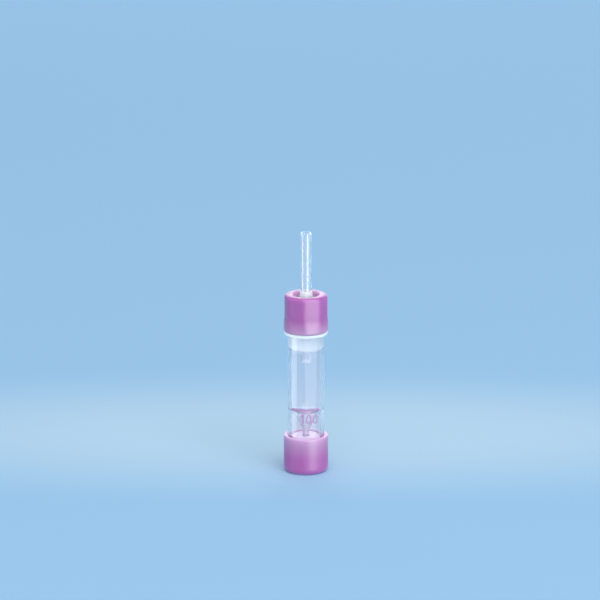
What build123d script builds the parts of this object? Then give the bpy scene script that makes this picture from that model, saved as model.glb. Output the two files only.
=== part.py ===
from build123d import *
import math
import os

# A small blood collection tube, standing on its foot stopper with its capillary cap on top.
# The origin is the middle of the foot and +Z is the axis that every piece shares. Millimetres.

# Driving dimensions
CLOSURE_RADIUS = 5.4
TUBE_RADIUS = 4.4
BORE_RADIUS = 3.5
CAPILLARY_RADIUS = 1.3
CAPILLARY_BORE_RADIUS = 0.98
FIT_GAP = 0.02
SMALL_ROUND = 0.2

# Heights above the foot
STOPPER_TOP = 9.1
STOPPER_FLOOR = 2.1
TUBE_FOOT = STOPPER_FLOOR
TUBE_MOUTH = 34.5
CAP_FOOT = 35.3
CAP_TOP = 44.4
CAPILLARY_LOW_END = 27.5
CAPILLARY_TOP_END = 59.6

# Foot stopper: a cup round the tube's skirt, with a sealing plug inside the skirt
FOOT_ROUND = 1.3
CUP_LEAD_IN = 0.35
PLUG_TOP = 8.9
PLUG_LEAD_IN = 0.1
TIP_POCKET_RADIUS = 1.0
TIP_POCKET_FLOOR = 4.9

# Collection tube: a straight bore that ends in a cone and a narrow tip, inside an open skirt
CONE_TOP = 15.85
CONE_HALF_ANGLE = 30.0
CONE_JOINT_HEIGHT = 0.3
UNDER_HALF_ANGLE = 27.5
TIP_RADIUS = 0.85
TIP_BORE_RADIUS = 0.45
TIP_END = 5.7
TIP_BORE_END = 6.9

# Printed mark
INK_THICKNESS = 0.03
LINE_HEIGHT = 16.35
LINE_WIDTH = 0.5
LINE_ARC = 96.0
LINE_ANGLE = -1.5
DIGIT_FOOT = 12.85
DIGIT_HEIGHT = 2.4
DIGIT_WIDTH = 1.35
DIGIT_STROKE = 0.32
DIGIT_ANGLES = {"1": [-9.5], "0": [9.0, 30.5]}

# Capillary holder: a plug in the tube's mouth, a flange on its rim, a ring and a neck in the cap
MOUTH_PLUG_FOOT = 30.5
MOUTH_PLUG_LEAD_IN = 0.6
FLANGE_RADIUS = 5.3
RING_RADIUS = 4.2
RING_BORE_RADIUS = 3.2
RING_TOP = 38.9
NECK_RADIUS = 1.68
NECK_TOP_RADIUS = 1.45
NECK_SHOULDER = 43.3
NECK_TOP = 45.2

# Capillary cap: a round skirt, flats above it, and a well round the holder's neck
UPPER_RADIUS = 5.3
SKIRT_TOP = 37.6
SKIRT_ROUND = 0.4
FLAT_DISTANCE = 5.02
FLAT_COUNT = 8
FLAT_FOOT = 38.6
FLAT_SLOPE = 5.2
FIRST_FLAT_ANGLE = 16.1
CAP_ROUND = 0.9
CAVITY_TOP = 42.1
WELL_FLOOR = 43.3
WELL_RADIUS = 3.15
WELL_ROUND = 0.5


def turned(outline):
    """A solid of revolution from an outline of (radius, height) points."""
    face = Plane.XZ * make_face(Polyline(*outline, close=True))
    return revolve(face, Axis.Z)


def rings_at(solid, height, radius):
    """The round edges of a solid that lie at one height and have one radius."""
    level = solid.edges().filter_by(GeomType.CIRCLE)
    return [e for e in level if abs(e.center().Z - height) < 1e-4 and abs(e.radius - radius) < 1e-4]


def at_front(solid, angle):
    """Turns a solid made at the front, on -Y, about the axis towards +X."""
    return Rot(0, 0, angle) * solid


def base_stopper():
    cup_radius = TUBE_RADIUS + FIT_GAP
    plug_radius = BORE_RADIUS - FIT_GAP
    solid = turned([
        (0, 0),
        (CLOSURE_RADIUS, 0),
        (CLOSURE_RADIUS, STOPPER_TOP),
        (cup_radius, STOPPER_TOP),
        (cup_radius, STOPPER_FLOOR),
        (plug_radius, STOPPER_FLOOR),
        (plug_radius, PLUG_TOP - PLUG_LEAD_IN),
        (plug_radius - PLUG_LEAD_IN, PLUG_TOP),
        (TIP_POCKET_RADIUS + PLUG_LEAD_IN, PLUG_TOP),
        (TIP_POCKET_RADIUS, PLUG_TOP - PLUG_LEAD_IN),
        (TIP_POCKET_RADIUS, TIP_POCKET_FLOOR),
        (0, TIP_POCKET_FLOOR),
    ])
    solid = fillet(rings_at(solid, 0, CLOSURE_RADIUS), FOOT_ROUND)
    solid = fillet(rings_at(solid, STOPPER_TOP, CLOSURE_RADIUS), SMALL_ROUND)
    return fillet(rings_at(solid, STOPPER_TOP, cup_radius), CUP_LEAD_IN)


def collection_tube():
    cone_foot = CONE_TOP - (BORE_RADIUS - TIP_BORE_RADIUS) / math.tan(math.radians(CONE_HALF_ANGLE))
    under_top = CONE_TOP - CONE_JOINT_HEIGHT
    under_foot = under_top - (BORE_RADIUS - TIP_RADIUS) / math.tan(math.radians(UNDER_HALF_ANGLE))
    solid = turned([
        (0, TIP_END),
        (TIP_RADIUS, TIP_END),
        (TIP_RADIUS, under_foot),
        (BORE_RADIUS, under_top),
        (BORE_RADIUS, TUBE_FOOT),
        (TUBE_RADIUS, TUBE_FOOT),
        (TUBE_RADIUS, TUBE_MOUTH),
        (BORE_RADIUS, TUBE_MOUTH),
        (BORE_RADIUS, CONE_TOP),
        (TIP_BORE_RADIUS, cone_foot),
        (TIP_BORE_RADIUS, TIP_BORE_END),
        (0, TIP_BORE_END),
    ])
    solid = fillet(rings_at(solid, TIP_END, TIP_RADIUS), 0.8 * TIP_RADIUS)
    ends = rings_at(solid, TUBE_MOUTH, TUBE_RADIUS) + rings_at(solid, TUBE_FOOT, TUBE_RADIUS)
    return fillet(ends, SMALL_ROUND)


def ink_shell():
    inked = Cylinder(TUBE_RADIUS + INK_THICKNESS, TUBE_MOUTH, align=(Align.CENTER, Align.CENTER, Align.MIN))
    bare = Cylinder(TUBE_RADIUS, TUBE_MOUTH, align=(Align.CENTER, Align.CENTER, Align.MIN))
    return inked - bare


def digit_one():
    flag_drop = 0.22 * DIGIT_HEIGHT
    flag_reach = 0.45 * DIGIT_WIDTH
    half = DIGIT_STROKE / 2
    return make_face(Polyline(
        (-half, 0),
        (half, 0),
        (half, DIGIT_HEIGHT),
        (-half, DIGIT_HEIGHT),
        (-flag_reach, DIGIT_HEIGHT - flag_drop),
        (-flag_reach, DIGIT_HEIGHT - flag_drop - DIGIT_STROKE),
        (-half, DIGIT_HEIGHT - flag_drop),
        close=True,
    ))


def digit_zero():
    middle = Pos(0, DIGIT_HEIGHT / 2)
    outside = Ellipse(DIGIT_WIDTH / 2, DIGIT_HEIGHT / 2)
    inside = Ellipse(DIGIT_WIDTH / 2 - DIGIT_STROKE, DIGIT_HEIGHT / 2 - DIGIT_STROKE)
    return middle * (outside - inside)


def fill_mark():
    """The fill line and the plain number 100 under it, as ink on the tube's wall."""
    band = Plane.XZ * Pos(TUBE_RADIUS + INK_THICKNESS / 2, LINE_HEIGHT) * Rectangle(INK_THICKNESS, LINE_WIDTH)
    line = Rot(0, 0, -90 - LINE_ARC / 2) * revolve(band, Axis.Z, revolution_arc=LINE_ARC)
    front = Plane(origin=(0, -TUBE_RADIUS, DIGIT_FOOT), x_dir=(1, 0, 0), z_dir=(0, -1, 0))
    shell = ink_shell()
    inked = [at_front(line, LINE_ANGLE)]
    for digit, shape in (("1", digit_one()), ("0", digit_zero())):
        printed = extrude(front * shape, amount=TUBE_RADIUS / 4, both=True) & shell
        inked += [at_front(printed, angle) for angle in DIGIT_ANGLES[digit]]
    return Compound(children=[solid for part in inked for solid in part.solids()])


def capillary_holder():
    plug_radius = BORE_RADIUS - FIT_GAP
    solid = turned([
        (CAPILLARY_RADIUS, MOUTH_PLUG_FOOT),
        (plug_radius - MOUTH_PLUG_LEAD_IN, MOUTH_PLUG_FOOT),
        (plug_radius, MOUTH_PLUG_FOOT + MOUTH_PLUG_LEAD_IN),
        (plug_radius, TUBE_MOUTH),
        (FLANGE_RADIUS, TUBE_MOUTH),
        (FLANGE_RADIUS, CAP_FOOT),
        (RING_RADIUS, CAP_FOOT),
        (RING_RADIUS, RING_TOP),
        (RING_BORE_RADIUS, RING_TOP),
        (RING_BORE_RADIUS, CAP_FOOT),
        (NECK_RADIUS, CAP_FOOT),
        (NECK_RADIUS, NECK_SHOULDER),
        (NECK_TOP_RADIUS, NECK_TOP),
        (CAPILLARY_RADIUS, NECK_TOP),
    ])
    rim = rings_at(solid, TUBE_MOUTH, FLANGE_RADIUS) + rings_at(solid, CAP_FOOT, FLANGE_RADIUS)
    return fillet(rim, SMALL_ROUND)


def capillary():
    solid = turned([
        (CAPILLARY_BORE_RADIUS, CAPILLARY_LOW_END),
        (CAPILLARY_RADIUS, CAPILLARY_LOW_END),
        (CAPILLARY_RADIUS, CAPILLARY_TOP_END),
        (CAPILLARY_BORE_RADIUS, CAPILLARY_TOP_END),
    ])
    ends = [e for z in (CAPILLARY_LOW_END, CAPILLARY_TOP_END) for e in rings_at(solid, z, CAPILLARY_RADIUS)]
    return fillet(ends, SMALL_ROUND / 2)


def cap_flat_cutter():
    """Cuts one flat above the skirt on the +X side, with a sloping foot that runs out on the skirt."""
    reach = 1.5 * CLOSURE_RADIUS
    above = CAP_TOP + CAP_ROUND
    outline = Polyline(
        (FLAT_DISTANCE, above),
        (FLAT_DISTANCE, FLAT_FOOT),
        (reach, FLAT_FOOT - FLAT_SLOPE * (reach - FLAT_DISTANCE)),
        (reach, above),
        close=True,
    )
    return extrude(Plane.XZ * make_face(outline), amount=CLOSURE_RADIUS / 2, both=True)


def capillary_cap():
    well_wall = NECK_RADIUS + FIT_GAP
    solid = turned([
        (well_wall, WELL_FLOOR),
        (well_wall, CAVITY_TOP),
        (RING_RADIUS, CAVITY_TOP),
        (RING_RADIUS, CAP_FOOT),
        (CLOSURE_RADIUS, CAP_FOOT),
        (CLOSURE_RADIUS, SKIRT_TOP),
        (UPPER_RADIUS, FLAT_FOOT),
        (UPPER_RADIUS, CAP_TOP),
        (WELL_RADIUS, CAP_TOP),
        (WELL_RADIUS, WELL_FLOOR),
    ])
    solid = fillet(rings_at(solid, CAP_TOP, UPPER_RADIUS), CAP_ROUND)
    solid = fillet(rings_at(solid, CAP_TOP, WELL_RADIUS), WELL_ROUND)
    solid = fillet(rings_at(solid, CAP_FOOT, CLOSURE_RADIUS), SKIRT_ROUND)
    cutter = cap_flat_cutter()
    turns = [FIRST_FLAT_ANGLE - 90 + k * 360 / FLAT_COUNT for k in range(FLAT_COUNT)]
    return solid - [Rot(0, 0, turn) * cutter for turn in turns]


def write_parts():
    os.makedirs("parts", exist_ok=True)
    for make in (base_stopper, collection_tube, fill_mark, capillary_holder, capillary, capillary_cap):
        export_step(make(), f"parts/{make.__name__}.step")


write_parts()
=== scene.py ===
import math

import bpy
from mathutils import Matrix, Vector

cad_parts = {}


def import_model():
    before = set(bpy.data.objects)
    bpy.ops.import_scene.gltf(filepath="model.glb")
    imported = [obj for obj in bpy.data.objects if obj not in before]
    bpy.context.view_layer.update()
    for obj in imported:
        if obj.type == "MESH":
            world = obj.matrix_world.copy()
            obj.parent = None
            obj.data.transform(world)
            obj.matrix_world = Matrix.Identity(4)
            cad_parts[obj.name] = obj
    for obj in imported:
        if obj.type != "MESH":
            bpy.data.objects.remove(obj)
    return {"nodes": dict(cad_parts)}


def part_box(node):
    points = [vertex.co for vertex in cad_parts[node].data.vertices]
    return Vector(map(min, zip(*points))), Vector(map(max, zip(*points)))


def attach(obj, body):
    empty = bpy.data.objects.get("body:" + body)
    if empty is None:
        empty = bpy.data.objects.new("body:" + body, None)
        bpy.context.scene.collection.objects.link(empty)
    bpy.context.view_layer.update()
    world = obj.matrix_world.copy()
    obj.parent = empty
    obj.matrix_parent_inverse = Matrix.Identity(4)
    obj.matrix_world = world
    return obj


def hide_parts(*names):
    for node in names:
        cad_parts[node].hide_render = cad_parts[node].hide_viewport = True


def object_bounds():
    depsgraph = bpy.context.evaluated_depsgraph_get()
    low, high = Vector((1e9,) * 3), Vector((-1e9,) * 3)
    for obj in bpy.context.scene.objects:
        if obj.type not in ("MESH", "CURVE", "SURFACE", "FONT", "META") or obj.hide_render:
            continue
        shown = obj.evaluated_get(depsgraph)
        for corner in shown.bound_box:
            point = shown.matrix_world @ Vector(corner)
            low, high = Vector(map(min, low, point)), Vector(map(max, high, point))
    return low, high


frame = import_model()
cad_low, cad_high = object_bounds()

# A small clear collection tube on a violet foot stopper, closed by a violet cap that holds a capillary.
# Every piece is turned about the Z axis. Outlines are (radius, height) in millimetres, meshes in metres.
MM = 0.001
ON_AXIS = 1e-6

# Facets round the turned pieces, and the angle from which an edge between facets is shaded sharp.
TURNED_FACETS = 192
CAPILLARY_FACETS = 96
FACETS_PER_FLAT = 40
SHARP_EDGE = math.radians(32)


def extent(node):
    """Outer radius, lowest and highest height of a CAD node, in millimetres."""
    low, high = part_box(node)
    return min(-low[0], -low[1], high[0], high[1]) / MM, low[2] / MM, high[2] / MM


TUBE_RADIUS, TUBE_FOOT, TUBE_MOUTH = extent("collection_tube")
CLOSURE_RADIUS, FOOT, STOPPER_TOP = extent("base_stopper")
_, CAP_FOOT, CAP_TOP = extent("capillary_cap")
FLANGE_RADIUS, PLUG_FOOT, NECK_TOP = extent("capillary_holder")
CAPILLARY_RADIUS, CAPILLARY_FOOT, CAPILLARY_TOP = extent("capillary")

# The tube's wall, the gap at the violet closures, and how far the holder bites into the clear pieces.
WALL = 0.9
BORE_RADIUS = TUBE_RADIUS - WALL
FIT_GAP = 0.02
PRESSED = 0.006

# Where the cap sits on its holder: the ring in the cap's cavity, and the neck in the floor of its well.
RING_RADIUS = 4.2
NECK_RADIUS = 1.68
WELL_FLOOR = 43.3


# ---------------------------------------------------------------- shapes

def rounded(corners, steps=5, longest=0.6, share=0.49):
    """A closed outline from (radius, height, rounding) corners: an arc at each rounding, which takes at
    most a share of either side, and straight stretches cut into short lengths so that they shade flat."""
    points = []
    for i, (r, z, rounding) in enumerate(corners):
        here = Vector((r, z))
        before = Vector(corners[i - 1][:2]) - here
        after = Vector(corners[(i + 1) % len(corners)][:2]) - here
        if rounding <= 0:
            points.append(here)
            continue
        half = before.angle(after) / 2
        reach = min(rounding / math.tan(half), share * before.length, share * after.length)
        radius = reach * math.tan(half)
        middle = here + (before.normalized() + after.normalized()).normalized() * (radius / math.sin(half))
        start = here + before.normalized() * reach - middle
        end = here + after.normalized() * reach - middle
        for k in range(steps + 1):
            spoke = start.normalized().slerp(end.normalized(), k / steps)
            points.append(middle + spoke * radius)
    outline = []
    for i, point in enumerate(points):
        ahead = points[(i + 1) % len(points)]
        lengths = max(1, math.ceil((ahead - point).length / longest))
        outline += [point.lerp(ahead, k / lengths) for k in range(lengths)]
    return [(p[0], p[1]) for p in outline]


def turned(name, outline, around=TURNED_FACETS, first_turn=0.0):
    """A closed solid of revolution. The outline runs with the solid on its left."""
    rings = []
    vertices = []
    for r, z in outline:
        first = len(vertices)
        if r < ON_AXIS:
            rings.append([first] * around)
            vertices.append((0, 0, z * MM))
            continue
        rings.append(list(range(first, first + around)))
        for k in range(around):
            turn = first_turn + 2 * math.pi * k / around
            vertices.append((r * MM * math.cos(turn), r * MM * math.sin(turn), z * MM))
    faces = []
    for i, low in enumerate(rings):
        high = rings[(i + 1) % len(rings)]
        if len(set(low)) == 1 and len(set(high)) == 1:
            continue
        for k in range(around):
            n = (k + 1) % around
            corners = [low[k], low[n], high[n], high[k]]
            faces.append(tuple(dict.fromkeys(corners)))
    mesh = bpy.data.meshes.new(name)
    mesh.from_pydata(vertices, [], faces)
    mesh.validate()
    mesh.shade_smooth()
    mesh.set_sharp_from_angle(angle=SHARP_EDGE)
    piece = bpy.data.objects.new(name, mesh)
    bpy.context.scene.collection.objects.link(piece)
    return piece


def add(tree, kind, inputs=None, **settings):
    """Adds a node with its settings. An input given as a socket is linked, and any other is set."""
    node = tree.nodes.new(kind)
    for name, value in settings.items():
        setattr(node, name, value)
    for key, value in (inputs or {}).items():
        if isinstance(value, bpy.types.NodeSocket):
            tree.links.new(value, node.inputs[key])
        else:
            node.inputs[key].default_value = value
    return node.outputs


def flats_tree(material):
    """Geometry Nodes that press a ring of flats into a turned blank: every point is drawn in to the
    nearest flat, the flats' edges are rounded, and their foot slopes out below the foot height."""
    tree = bpy.data.node_groups.new("ring_of_flats", "GeometryNodeTree")
    face = tree.interface
    face.new_socket("Geometry", in_out="INPUT", socket_type="NodeSocketGeometry")
    for name in ("Flat Count", "First Flat", "Flat Distance", "Foot Height", "Foot Slope", "Edge Round"):
        face.new_socket(name, in_out="INPUT", socket_type="NodeSocketFloat")
    face.new_socket("Geometry", in_out="OUTPUT", socket_type="NodeSocketGeometry")
    given = add(tree, "NodeGroupInput")
    place = add(tree, "GeometryNodeInputPosition")[0]
    x, y, z = add(tree, "ShaderNodeSeparateXYZ", {0: place})
    level = add(tree, "ShaderNodeCombineXYZ", {"X": x, "Y": y})[0]
    radius = add(tree, "ShaderNodeVectorMath", {0: level}, operation="LENGTH")["Value"]

    # The angle of a point from the middle of its nearest flat, and from the flat beside that one.
    step = add(tree, "ShaderNodeMath", {0: 2 * math.pi, 1: given["Flat Count"]}, operation="DIVIDE")[0]
    half = add(tree, "ShaderNodeMath", {0: step, 1: 0.5}, operation="MULTIPLY")[0]
    other_half = add(tree, "ShaderNodeMath", {0: step, 1: -0.5}, operation="MULTIPLY")[0]
    angle = add(tree, "ShaderNodeMath", {0: y, 1: x}, operation="ARCTAN2")[0]
    turn = add(tree, "ShaderNodeMath", {0: angle, 1: given["First Flat"]}, operation="SUBTRACT")[0]
    wrapped = add(tree, "ShaderNodeMath", {0: turn, 1: half, 2: other_half}, operation="WRAP")[0]
    off = add(tree, "ShaderNodeMath", {0: wrapped}, operation="ABSOLUTE")[0]
    beside = add(tree, "ShaderNodeMath", {0: step, 1: off}, operation="SUBTRACT")[0]

    # How far out the flats stand at a point's height: they slope outwards below their foot.
    below = add(tree, "ShaderNodeMath", {0: given["Foot Height"], 1: z}, operation="SUBTRACT")[0]
    drop = add(tree, "ShaderNodeMath", {0: below, 1: 0.0}, operation="MAXIMUM")[0]
    spread = add(tree, "ShaderNodeMath", {0: drop, 1: given["Foot Slope"]}, operation="DIVIDE")[0]
    distance = add(tree, "ShaderNodeMath", {0: given["Flat Distance"], 1: spread}, operation="ADD")[0]

    # A point's radius is cut to both flats, with a soft edge where two surfaces meet.
    pressed = radius
    for away in (off, beside):
        cosine = add(tree, "ShaderNodeMath", {0: away}, operation="COSINE")[0]
        limit = add(tree, "ShaderNodeMath", {0: distance, 1: cosine}, operation="DIVIDE")[0]
        pressed = add(tree, "ShaderNodeMath", {0: pressed, 1: limit, 2: given["Edge Round"]},
                      operation="SMOOTH_MIN")[0]
    shrink = add(tree, "ShaderNodeMath", {0: pressed, 1: radius}, operation="DIVIDE")[0]
    drawn_in = add(tree, "ShaderNodeVectorMath", {0: level, "Scale": shrink}, operation="SCALE")[0]
    lifted = add(tree, "ShaderNodeCombineXYZ", {"Z": z})[0]
    moved = add(tree, "ShaderNodeVectorMath", {0: drawn_in, 1: lifted}, operation="ADD")[0]
    shaped = add(tree, "GeometryNodeSetPosition", {"Geometry": given["Geometry"], "Position": moved})[0]
    real = add(tree, "GeometryNodeRealizeInstances", {0: shaped})[0]
    dressed = add(tree, "GeometryNodeSetMaterial", {"Geometry": real, "Material": material})[0]
    add(tree, "NodeGroupOutput", {"Geometry": dressed})
    return tree


def grown(piece, tree, **values):
    """Runs a Geometry Nodes tree on a piece and leaves the result as its plain mesh."""
    modifier = piece.modifiers.new(tree.name, "NODES")
    modifier.node_group = tree
    sockets = {item.name: item.identifier for item in tree.interface.items_tree if item.in_out == "INPUT"}
    for name, value in values.items():
        modifier[sockets[name.replace("_", " ").title()]] = float(value)
    mesh = bpy.data.meshes.new_from_object(piece.evaluated_get(bpy.context.evaluated_depsgraph_get()))
    piece.modifiers.remove(modifier)
    piece.data = mesh
    mesh.name = piece.name
    return piece


# ---------------------------------------------------------------- materials

def linear(code):
    """A colour written as sRGB hex, turned to linear."""
    parts = [int(code[i:i + 2], 16) / 255 for i in (0, 2, 4)]
    return [p / 12.92 if p <= 0.04045 else ((p + 0.055) / 1.055) ** 2.4 for p in parts] + [1.0]


def blank_material(name):
    """A new material and its node tree, with no node in it."""
    material = bpy.data.materials.new(name)
    material.use_nodes = True
    material.node_tree.nodes.clear()
    return material, material.node_tree


def violet_ldpe():
    """Violet low-density polyethylene, injection moulded: waxy satin gloss, light that spreads inside it,
    faint flow clouds in the colour, and the slight orange peel that a polished mould leaves. The colour is
    painted paler, as painted light: near the axis it lightens the shaded well and plug top, and towards the
    open ends over the tube and the holder it is a painted glow and highlight where the wall is thin."""
    cloud_size, peel_size, peel_height, spread = 2.6 * MM, 0.35 * MM, 0.03 * MM, 3.0 * MM
    pale_radius, deep_radius = 3.2 * MM, 4.4 * MM
    skirt_pale, skirt_deep = (CAP_FOOT + 0.1) * MM, (CAP_FOOT + 3.1) * MM
    cup_deep, cup_pale = (STOPPER_TOP - 5.1) * MM, (STOPPER_TOP - 0.5) * MM

    material, tree = blank_material("violet_moulded_ldpe")
    place = add(tree, "ShaderNodeTexCoord")["Object"]
    flow = add(tree, "ShaderNodeTexNoise", {"Vector": place, "Scale": 1 / cloud_size, "Detail": 3.0})["Fac"]
    peel = add(tree, "ShaderNodeTexNoise", {"Vector": place, "Scale": 1 / peel_size, "Detail": 2.0})["Fac"]
    deep = add(tree, "ShaderNodeMix", {"Factor": flow, 6: linear("A8529F"), 7: linear("B45BAA")},
               data_type="RGBA")[2]

    # Three painted-light fades to a paler colour: towards the axis, over the shaded well and plug top,
    # down to the cap's open foot, and up to the stopper's open rim, a painted glow through the thin wall.
    x, y, z = add(tree, "ShaderNodeSeparateXYZ", {0: place})
    level = add(tree, "ShaderNodeCombineXYZ", {"X": x, "Y": y})[0]
    off_axis = add(tree, "ShaderNodeVectorMath", {0: level}, operation="LENGTH")["Value"]
    inner = add(tree, "ShaderNodeMapRange", {"Value": off_axis, "From Min": pale_radius,
                                             "From Max": deep_radius, "To Min": 1.0, "To Max": 0.0})[0]
    skirt = add(tree, "ShaderNodeMapRange", {"Value": z, "From Min": skirt_pale,
                                             "From Max": skirt_deep, "To Min": 1.0, "To Max": 0.0})[0]
    cup = add(tree, "ShaderNodeMapRange", {"Value": z, "From Min": cup_deep, "From Max": cup_pale})[0]
    open_end = add(tree, "ShaderNodeMath", {0: skirt, 1: cup}, operation="MULTIPLY")[0]
    near_axis = add(tree, "ShaderNodeMath", {0: inner, 1: cup}, operation="MULTIPLY")[0]
    # Painted glow and highlight: the colour pales towards the open ends.
    glow_painted_at_ends = add(tree, "ShaderNodeMix", {"Factor": open_end, 6: deep, 7: linear("BE92BA")},
               data_type="RGBA")[2]
    # Painted light: the colour pales near the axis, over the shaded well and plug top.
    tint = add(tree, "ShaderNodeMix", {"Factor": near_axis, 6: glow_painted_at_ends, 7: linear("CCA3C9")},
               data_type="RGBA")[2]

    rough = add(tree, "ShaderNodeMapRange", {"Value": peel, "To Min": 0.32, "To Max": 0.4})[0]
    bump = add(tree, "ShaderNodeBump", {"Height": peel, "Strength": 0.12, "Distance": peel_height})[0]
    shader = add(tree, "ShaderNodeBsdfPrincipled", {
        "Base Color": tint, "Roughness": rough, "Normal": bump, "IOR": 1.51, "Specular IOR Level": 1.0,
        "Coat Weight": 0.2, "Coat Roughness": 0.36, "Coat IOR": 1.6,
        "Subsurface Weight": 1.0, "Subsurface Scale": spread, "Subsurface Radius": (1.0, 0.8, 1.0)})[0]
    add(tree, "ShaderNodeOutputMaterial", {"Surface": shader})
    return material


def natural_ldpe():
    """Unpigmented polyethylene, injection moulded: milky, softly lit from within, satin surface."""
    cloud_size, cloud_height, spread = 1.8 * MM, 0.02 * MM, 1.2 * MM
    material, tree = blank_material("natural_milky_ldpe")
    place = add(tree, "ShaderNodeTexCoord")["Object"]
    cloud = add(tree, "ShaderNodeTexNoise", {"Vector": place, "Scale": 1 / cloud_size, "Detail": 3.0})["Fac"]
    tint = add(tree, "ShaderNodeMix", {"Factor": cloud, 6: linear("D6E0E8"), 7: linear("E0E8EE")},
               data_type="RGBA")[2]
    rough = add(tree, "ShaderNodeMapRange", {"Value": cloud, "To Min": 0.28, "To Max": 0.4})[0]
    bump = add(tree, "ShaderNodeBump", {"Height": cloud, "Strength": 0.1, "Distance": cloud_height})[0]
    shader = add(tree, "ShaderNodeBsdfPrincipled", {
        "Base Color": tint, "Roughness": rough, "Normal": bump, "IOR": 1.51,
        "Subsurface Weight": 0.6, "Subsurface Scale": spread, "Subsurface Radius": (0.9, 1.0, 1.1)})[0]
    add(tree, "ShaderNodeOutputMaterial", {"Surface": shader})
    return material


def clear_plastic(name, tint, ior, clarity, streak_width, ripple):
    """Clear polished plastic, drawn or moulded along Z: sharp refraction, with faint streaks along its
    length and a little haze. Lamps shine straight through it, so that what is inside is lit, and light
    caught in its wall leaves it after four reflections."""
    flattened, streak_height, four_reflections = 0.04, 0.01 * MM, 3.5
    material, tree = blank_material(name)
    place = add(tree, "ShaderNodeTexCoord")["Object"]
    along = add(tree, "ShaderNodeMapping", {"Vector": place, "Scale": (1.0, 1.0, flattened)})[0]
    streaks = add(tree, "ShaderNodeTexNoise", {"Vector": along, "Scale": 1 / (streak_width * MM),
                                               "Detail": 2.0})["Fac"]
    bump = add(tree, "ShaderNodeBump", {"Height": streaks, "Strength": ripple,
                                        "Distance": streak_height})[0]
    rough = add(tree, "ShaderNodeMapRange", {"Value": streaks, "To Min": 0.02, "To Max": 0.06})[0]
    shader = add(tree, "ShaderNodeBsdfPrincipled", {
        "Base Color": linear(tint), "Roughness": rough, "Normal": bump, "IOR": ior,
        "Coat Weight": 0.7, "Coat Roughness": 0.12, "Coat IOR": 1.5, "Transmission Weight": clarity})[0]
    passing = add(tree, "ShaderNodeBsdfTransparent", {"Color": linear("FAFCFE")})[0]
    path = add(tree, "ShaderNodeLightPath")
    caught = add(tree, "ShaderNodeMath", {0: path["Glossy Depth"], 1: four_reflections},
                 operation="GREATER_THAN")[0]
    straight = add(tree, "ShaderNodeMath", {0: path["Is Shadow Ray"], 1: caught}, operation="MAXIMUM")[0]
    mixed = add(tree, "ShaderNodeMixShader", {"Fac": straight, 1: shader, 2: passing})[0]
    add(tree, "ShaderNodeOutputMaterial", {"Surface": mixed})
    return material


def violet_ink():
    """Violet pad-printing ink: thin, matt and a little patchy."""
    patch_size = 0.25 * MM
    material, tree = blank_material("violet_printed_ink")
    place = add(tree, "ShaderNodeTexCoord")["Object"]
    patch = add(tree, "ShaderNodeTexNoise", {"Vector": place, "Scale": 1 / patch_size, "Detail": 3.0})["Fac"]
    tint = add(tree, "ShaderNodeMix", {"Factor": patch, 6: linear("AA80B0"), 7: linear("B68EBC")},
               data_type="RGBA")[2]
    rough = add(tree, "ShaderNodeMapRange", {"Value": patch, "To Min": 0.45, "To Max": 0.65})[0]
    shader = add(tree, "ShaderNodeBsdfPrincipled", {"Base Color": tint, "Roughness": rough, "IOR": 1.5})[0]
    add(tree, "ShaderNodeOutputMaterial", {"Surface": shader})
    return material


def dress(piece, material, body, slot, *nodes):
    """Gives a piece its material, and says which body it rides on and which CAD nodes it stands for."""
    piece.data.materials.clear()
    piece.data.materials.append(material)
    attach(piece, body)
    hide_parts(*nodes)
    return piece


# ---------------------------------------------------------------- pieces

def stopper():
    """A cup round the tube's skirt, with a sealing plug in its middle and a pocket for the tube's tip."""
    foot_round, lead_in = 1.3, 0.35
    cup, cup_floor = TUBE_RADIUS + FIT_GAP, TUBE_FOOT - FIT_GAP
    plug, plug_top = BORE_RADIUS - FIT_GAP, STOPPER_TOP - 0.2
    pocket, pocket_floor = 1.0, 4.9
    return turned("foot_stopper", rounded([
        (0, FOOT, 0),
        (CLOSURE_RADIUS, FOOT, foot_round),
        (CLOSURE_RADIUS, STOPPER_TOP, 0.22),
        (cup, STOPPER_TOP, lead_in),
        (cup, cup_floor, 0.1),
        (plug, cup_floor, 0.1),
        (plug, plug_top, 0.1),
        (pocket, plug_top, 0.1),
        (pocket, pocket_floor, 0.3),
        (0, pocket_floor, 0),
    ]))


def tube():
    """A straight bore that ends in a cone and a narrow closed tip, inside an open skirt."""
    cone_top, half_angle = 15.85, math.radians(30)
    under_top, under_half_angle = 15.55, math.radians(27.5)
    tip, tip_bore, tip_end, tip_bore_end = 0.85, 0.45, 5.7, 6.9
    cone_foot = cone_top - (BORE_RADIUS - tip_bore) / math.tan(half_angle)
    under_foot = under_top - (BORE_RADIUS - tip) / math.tan(under_half_angle)
    return turned("clear_tube", rounded([
        (0, tip_end, 0),
        (tip, tip_end, 0.7),
        (tip, under_foot, 0.5),
        (BORE_RADIUS, under_top, 0.15),
        (BORE_RADIUS, TUBE_FOOT, 0.1),
        (TUBE_RADIUS, TUBE_FOOT, 0.2),
        (TUBE_RADIUS, TUBE_MOUTH, 0.2),
        (BORE_RADIUS, TUBE_MOUTH, 0.1),
        (BORE_RADIUS, cone_top, 0.15),
        (tip_bore, cone_foot, 0.5),
        (tip_bore, tip_bore_end, 0.3),
        (0, tip_bore_end, 0),
    ]))


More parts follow.
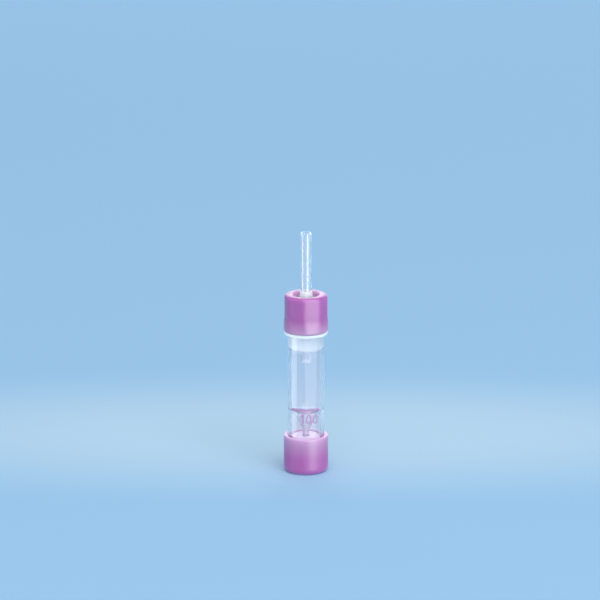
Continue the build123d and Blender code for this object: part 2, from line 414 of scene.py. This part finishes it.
def holder():
    """A plug in the tube's mouth, a flange on its rim, and a ring and a neck that stand up in the cap."""
    plug, lead_in = BORE_RADIUS + PRESSED, 0.6
    bore = CAPILLARY_RADIUS - PRESSED
    flange_foot = TUBE_MOUTH + FIT_GAP
    ring_bore, ring_top, neck_top = 3.2, 38.9, 1.45
    return turned("milky_holder", rounded([
        (bore, PLUG_FOOT, 0.1),
        (plug - lead_in, PLUG_FOOT, 0.15),
        (plug, PLUG_FOOT + lead_in, 0.3),
        (plug, flange_foot, 0.02),
        (FLANGE_RADIUS, flange_foot, 0.25),
        (FLANGE_RADIUS, CAP_FOOT, 0.15),
        (RING_RADIUS, CAP_FOOT, 0.02),
        (RING_RADIUS, ring_top, 0.2),
        (ring_bore, ring_top, 0.2),
        (ring_bore, CAP_FOOT, 0.2),
        (NECK_RADIUS, CAP_FOOT, 0.2),
        (NECK_RADIUS, WELL_FLOOR, 0.4),
        (neck_top, NECK_TOP, 0.08),
        (bore, NECK_TOP, 0.08),
    ]))


def capillary():
    """A thin tube, open at both ends."""
    bore = 0.98
    return turned("clear_capillary", rounded([
        (bore, CAPILLARY_FOOT, 0.08),
        (CAPILLARY_RADIUS, CAPILLARY_FOOT, 0.1),
        (CAPILLARY_RADIUS, CAPILLARY_TOP, 0.1),
        (bore, CAPILLARY_TOP, 0.08),
    ]), around=CAPILLARY_FACETS)


def cap(material):
    """A round skirt, a ring of flats above it, and a well round the holder's neck."""
    cavity_top, well, well_wall = 42.1, 3.15, NECK_RADIUS + FIT_GAP
    upper, skirt_top, flat_foot = 5.3, 37.6, 38.6
    skirt_round, top_round, well_round = 0.4, 0.9, 0.5
    flat_count, first_flat = 8, math.radians(16.1 - 90)
    blank = turned("faceted_cap", rounded([
        (well_wall, WELL_FLOOR, 0.1),
        (well_wall, cavity_top, 0.1),
        (RING_RADIUS, cavity_top, 0.2),
        (RING_RADIUS, CAP_FOOT, 0.1),
        (CLOSURE_RADIUS, CAP_FOOT, skirt_round),
        (CLOSURE_RADIUS, skirt_top, 0.5),
        (upper, flat_foot, 0.5),
        (upper, CAP_TOP, top_round),
        (well, CAP_TOP, well_round),
        (well, WELL_FLOOR, 0.3),
    ], longest=0.3), around=flat_count * FACETS_PER_FLAT, first_turn=first_flat)
    return grown(blank, flats_tree(material), flat_count=flat_count, first_flat=first_flat,
                 flat_distance=5.02 * MM, foot_height=flat_foot * MM, foot_slope=5.2, edge_round=0.6 * MM)


violet, milky, ink = violet_ldpe(), natural_ldpe(), violet_ink()
clear_wall = clear_plastic("clear_moulded_polypropylene", "F8F5F8", ior=1.42, clarity=0.96,
                           streak_width=0.6, ripple=0.02)
clear_rod = clear_plastic("clear_drawn_plastic", "F8F6F8", ior=1.5, clarity=0.975,
                          streak_width=0.3, ripple=0.002)

foot_stopper = dress(stopper(), violet, "foot", "violet_closure", "base_stopper")
clear_tube = dress(tube(), clear_wall, "tube", "clear_tube", "collection_tube")
milky_holder = dress(holder(), milky, "cap", "natural_holder", "capillary_holder")
clear_capillary = dress(capillary(), clear_rod, "cap", "clear_capillary", "capillary")
faceted_cap = dress(cap(violet), violet, "cap", "violet_cap", "capillary_cap")

# The printed line and number keep their CAD solids.
fill_mark = frame["nodes"]["fill_mark"]
for slot in fill_mark.material_slots:
    slot.material = ink


# ---------------------------------------------------------------- floor, light and camera

BACKDROP = "99C5EA"


def floor():
    """A pale blue floor with a painted pool of light: a little lighter round the object. It keeps the
    object's shadow.
    """
    reach, pool_behind, pool_stretch = 1.3, 0.03, 3.0
    pool_inside, pool_outside = 0.012, 0.062
    corners = [(-reach, -reach, 0), (reach, -reach, 0), (reach, reach, 0), (-reach, reach, 0)]
    mesh = bpy.data.meshes.new("floor")
    mesh.from_pydata(corners, [], [(0, 1, 2, 3)])
    ground = bpy.data.objects.new("floor", mesh)
    bpy.context.scene.collection.objects.link(ground)
    material, tree = blank_material("pale_blue_floor")
    place = add(tree, "ShaderNodeTexCoord")["Object"]
    # Painted light: a lighter pool of colour round the object.
    spot = add(tree, "ShaderNodeMapping", {"Vector": place, "Location": (0.0, pool_behind, 0.0),
                                           "Scale": (pool_stretch, 1.0, 1.0)}, vector_type="TEXTURE")[0]
    away = add(tree, "ShaderNodeVectorMath", {0: spot}, operation="LENGTH")["Value"]
    painted_light_pool = add(tree, "ShaderNodeMapRange", {"Value": away, "From Min": pool_inside,
                                            "From Max": pool_outside}, interpolation_type="SMOOTHSTEP")[0]
    tint = add(tree, "ShaderNodeMix", {"Factor": painted_light_pool, 6: linear("B2D4EE"), 7: linear(BACKDROP)},
               data_type="RGBA")[2]
    shader = add(tree, "ShaderNodeBsdfDiffuse", {"Color": tint})[0]
    add(tree, "ShaderNodeOutputMaterial", {"Surface": shader})
    mesh.materials.append(material)
    ground.visible_glossy = False
    ground.visible_shadow = False
    return ground


def pointed(name, data, azimuth, elevation, distance, target):
    """An object that looks at a target from an angle: azimuth 0 is the front, 90 the right side."""
    a, e = math.radians(azimuth), math.radians(elevation)
    back = Vector((math.sin(a) * math.cos(e), -math.cos(a) * math.cos(e), math.sin(e)))
    made = bpy.data.objects.new(name, data)
    made.location = target + back * distance
    made.rotation_mode = "QUATERNION"
    made.rotation_quaternion = (-back).to_track_quat("-Z", "Y")
    bpy.context.scene.collection.objects.link(made)
    return made


def softbox(name, azimuth, elevation, width, height, power, target, distance=1.5):
    """A rectangular lamp that the camera doesn't see, in metres and watts."""
    data = bpy.data.lights.new(name, "AREA")
    data.shape = "RECTANGLE"
    data.size, data.size_y = width, height
    data.energy = power
    lamp = pointed(name, data, azimuth, elevation, distance, target)
    lamp.visible_camera = False
    return lamp


def only_on(lamp, pieces):
    """Links a lamp to the pieces that it shines on."""
    lit = bpy.data.collections.new(lamp.name + "_lights")
    for piece in pieces:
        lit.objects.link(piece)
    lamp.light_linking.receiver_collection = lit


def world():
    """Soft ambient light. The camera, reflections and what is seen through plastic show the backdrop."""
    made = bpy.data.worlds.new("studio")
    bpy.context.scene.world = made
    made.use_nodes = True
    tree = made.node_tree
    tree.nodes.clear()
    path = add(tree, "ShaderNodeLightPath")
    direct = add(tree, "ShaderNodeMath", {0: path["Is Camera Ray"], 1: path["Is Transmission Ray"]},
                 operation="MAXIMUM")[0]
    seen = add(tree, "ShaderNodeMath", {0: direct, 1: path["Is Glossy Ray"]}, operation="MAXIMUM")[0]
    backdrop = add(tree, "ShaderNodeBackground", {"Color": linear(BACKDROP), "Strength": 1.0})[0]
    ambient = add(tree, "ShaderNodeBackground", {"Color": linear("F6F4F2"), "Strength": 0.55})[0]
    mixed = add(tree, "ShaderNodeMixShader", {"Fac": seen, 1: ambient, 2: backdrop})[0]
    add(tree, "ShaderNodeOutputWorld", {"Surface": mixed})


def camera(middle):
    """Stands 16 degrees above the object's middle and looks past it, a little higher and to its left."""
    view_width, distance, azimuth, elevation = 0.1453, 1.0, 0.086, 15.28
    aim = middle + Vector((-1.45, 3.48, 12.12)) * MM
    data = bpy.data.cameras.new("camera")
    data.sensor_width = 36.0
    data.lens = data.sensor_width * distance / view_width
    data.clip_start, data.clip_end = 0.01, 20.0
    bpy.context.scene.camera = pointed("camera", data, azimuth, elevation, distance, aim)


middle = (cad_low + cad_high) / 2
ground = floor()
world()

# Softboxes: azimuth, elevation, width, height and watts, and the pieces that each lights, if not all.
tube_apart = [foot_stopper, faceted_cap, milky_holder, clear_capillary, fill_mark, ground]
clear_and_milky = [clear_tube, milky_holder, clear_capillary]
for name, azimuth, elevation, width, height, watts, lit in (
    ("key_wide", 42, 0, 3.4, 1.1, 13.0, tube_apart),
    ("key_middle", 37, 0, 1.4, 1.1, 6.0, tube_apart),
    ("key_core", 33, 0, 0.65, 1.1, 3.0, tube_apart),
    ("rod_key", 34, 0, 0.8, 1.0, 7.0, [clear_capillary]),
    ("rod_window", -80, 0, 0.9, 1.0, 5.0, [clear_capillary]),
    ("tube_key", 32, -2, 2.75, 1.0, 12.0, [clear_tube]),
    ("left_fill", -60, 10, 1.5, 1.5, 3.0, None),
    ("back_card", 180, 18, 1.5, 0.75, 7.0, None),
    ("overhead", 15, 55, 1.25, 1.25, 12.0, None),
    ("left_window", -82, -8, 1.1, 1.2, 8.2, clear_and_milky),
):
    lamp = softbox(name, azimuth, elevation, width, height, watts, middle)
    if lit:
        only_on(lamp, lit)
camera(middle)

bpy.context.scene.view_settings.view_transform = "Standard"
